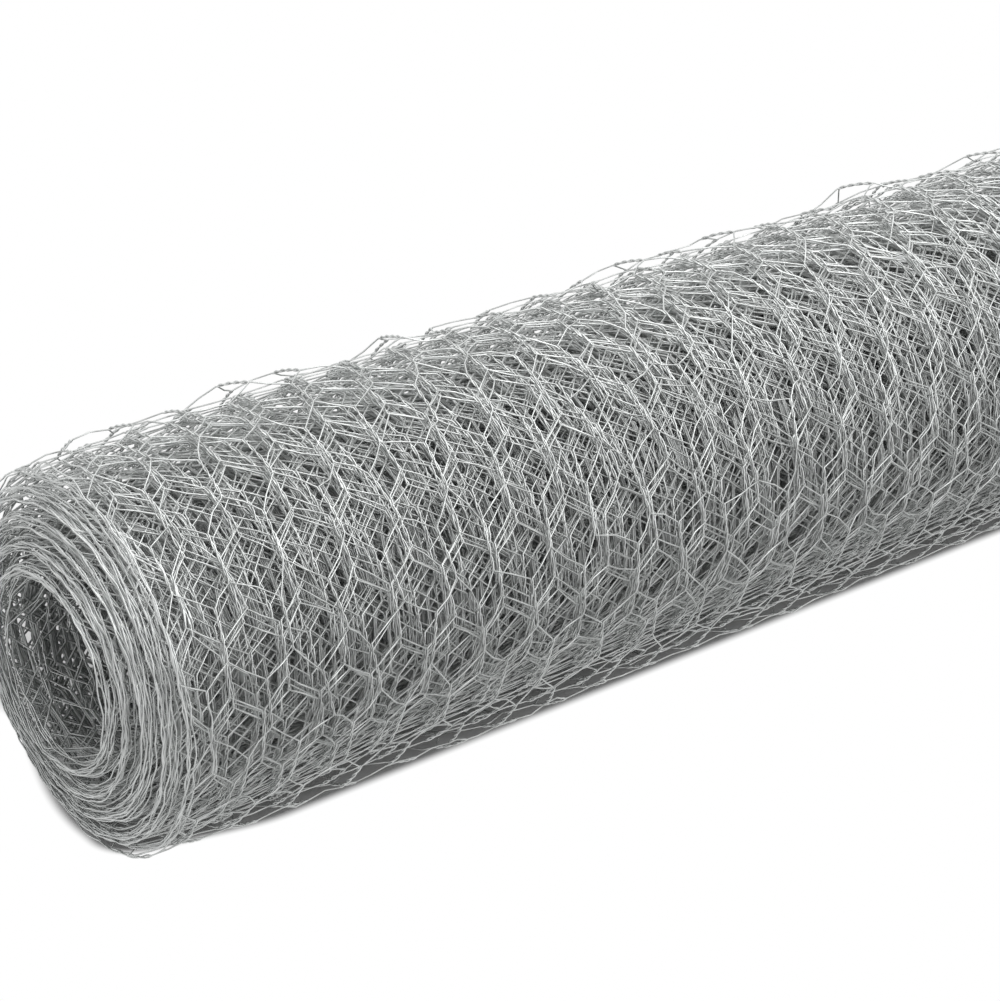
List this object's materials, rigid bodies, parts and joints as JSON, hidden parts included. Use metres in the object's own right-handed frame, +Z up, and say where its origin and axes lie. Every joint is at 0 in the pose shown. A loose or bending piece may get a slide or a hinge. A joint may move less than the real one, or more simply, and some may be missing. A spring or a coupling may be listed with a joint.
{
  "type": "roll of chicken wire",
  "caption": "Roll of hexagonal galvanised wire netting, wound turn over turn around an open bore, with its edges telescoped to a blunt cone at one end",
  "frame": {"origin": "middle of the underside: on the floor, under the axis, halfway along the roll", "axes": "+X along the axis of the roll, from the end with the proud inner turns to the hollow end; +Z up; the roll lies on its side"},
  "size_m": [1.0136, 0.1652, 0.1652],
  "materials": {
    "galvanised_wire": "satin hot-dip zinc, light neutral grey"
  },
  "bodies": {
    "root": {"chicken_wire_roll": "galvanised_wire"}
  },
  "joints": []
}
